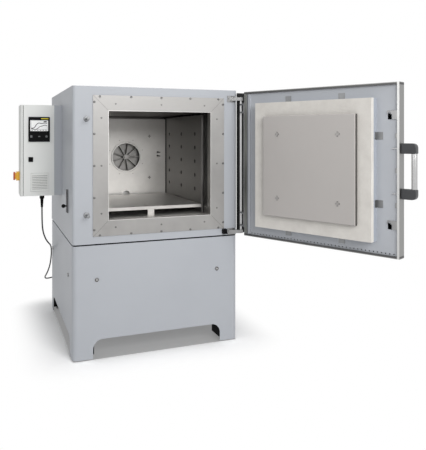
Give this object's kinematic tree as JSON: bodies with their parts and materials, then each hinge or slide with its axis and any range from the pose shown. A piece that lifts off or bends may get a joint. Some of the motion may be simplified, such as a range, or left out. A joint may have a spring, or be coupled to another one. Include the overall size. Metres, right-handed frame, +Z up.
{
  "type": "forced convection furnace",
  "caption": "Floor-standing forced convection furnace on a hollow base: square chamber with shelf, air guides and rear fan, plug door on a side hinge rod, control box on the left side.",
  "frame": {"origin": "on the floor, at the middle of the sole of the front left levelling foot", "axes": "+X to the furnace's right as seen from the door side, +Y to its back, +Z up"},
  "size_m": [1.7148, 2.3587, 1.49],
  "materials": {
    "grey_paint": "satin light grey powder coat",
    "box_paint": "fine-textured off-white powder coat",
    "stainless": "heat-resisting sheet, dull rolled surface",
    "polished_frame": "smooth stainless door casing",
    "steel": "bright machined steel",
    "heater_alloy": "dark oxidised heater sheath",
    "fibre": "matt pressed fibre board",
    "black_plastic": "matt black moulding",
    "screen_glass": "pale display behind a clear window",
    "yellow_plastic": "glossy yellow moulding",
    "red_plastic": "glossy orange-red moulding",
    "motor_grey": "dark grey cast and painted motor",
    "cord_rubber": "dull grey cord sheath"
  },
  "bodies": {
    "cabinet": {"air_pipes": "stainless", "baffle_fixings": "stainless", "base_floor": "grey_paint", "base_shell": "grey_paint", "box_channel": "grey_paint", "casing_wrap": "grey_paint", "chamber_liner": "stainless", "collar_frame": "stainless", "collar_screws": "stainless", "contact_switch": "black_plastic", "control_housing": "box_paint", "control_panel": "box_paint", "cord_glands": "black_plastic", "display_bezel": "black_plastic", "display_screen": "screen_glass", "fan_inlet_ring": "stainless", "fan_motor": "motor_grey", "foot_brackets": "black_plastic", "front_panel": "grey_paint", "heaters": "heater_alloy", "hinge_brackets": "steel", "hinge_rods": "steel", "insulation_block": "fibre", "levelling_feet": "steel", "motor_hood": "grey_paint", "motor_posts": "steel", "panel_locks": "steel", "power_cord": "cord_rubber", "rear_baffle": "stainless", "rear_panel": "grey_paint", "seam_spacer": "black_plastic", "service_port": "black_plastic", "shaft_bush": "steel", "shelf_supports": "stainless", "side_baffles": "stainless", "slider_guide": "steel", "strikers": "steel", "switch_plate": "yellow_plastic", "thermocouples": "steel", "throat_liner": "stainless", "vent_grille": "box_paint"},
    "door": {"door_shell": "polished_frame", "door_inner_panel": "grey_paint", "insulation_pan": "grey_paint", "door_insulation": "fibre", "door_plug": "stainless", "plug_fasteners": "stainless", "pan_clips": "steel", "door_hinges": "steel", "handle_brackets": "black_plastic", "handle_grip": "steel", "latch_guides": "steel"},
    "latch": {"latch_bar": "steel"},
    "fan": {"fan_wheel": "stainless", "fan_shaft": "steel"},
    "shelf_plate": {"shelf": "stainless"},
    "air_slider": {"slider_plate": "steel", "slider_knob": "black_plastic"},
    "mains_switch": {"main_switch": "red_plastic"},
    "door_contact": {"contact_plunger": "black_plastic"}
  },
  "joints": [
    {"name": "door_swing", "type": "hinge", "parent": "cabinet", "child": "door", "pos_m": [0.932, -0.13, 1.056], "axis": [0, 0, 1], "range_deg": [-115.3, 50]},
    {"name": "latch_drop", "type": "slide", "parent": "door", "child": "latch", "axis": [0, 0, -1], "range_m": [0, 0.016]},
    {"name": "fan_spin", "type": "hinge", "parent": "cabinet", "child": "fan", "pos_m": [0.444, 0.95, 1.067], "axis": [0, 1, 0], "continuous": true},
    {"name": "shelf_pull", "type": "slide", "parent": "cabinet", "child": "shelf_plate", "axis": [0, -1, 0], "range_m": [0, 0.55]},
    {"name": "air_inlet_slide", "type": "slide", "parent": "cabinet", "child": "air_slider", "axis": [0, 0, 1], "range_m": [0, 0.044]},
    {"name": "mains_switch_turn", "type": "hinge", "parent": "cabinet", "child": "mains_switch", "pos_m": [-0.29, 0.51, 0.974], "axis": [1, 0, 0], "range_deg": [0, 90]},
    {"name": "door_contact_push", "type": "slide", "parent": "cabinet", "child": "door_contact", "axis": [0, 1, 0], "range_m": [0, 0.006], "stiffness_N_per_m": 300}
  ]
}
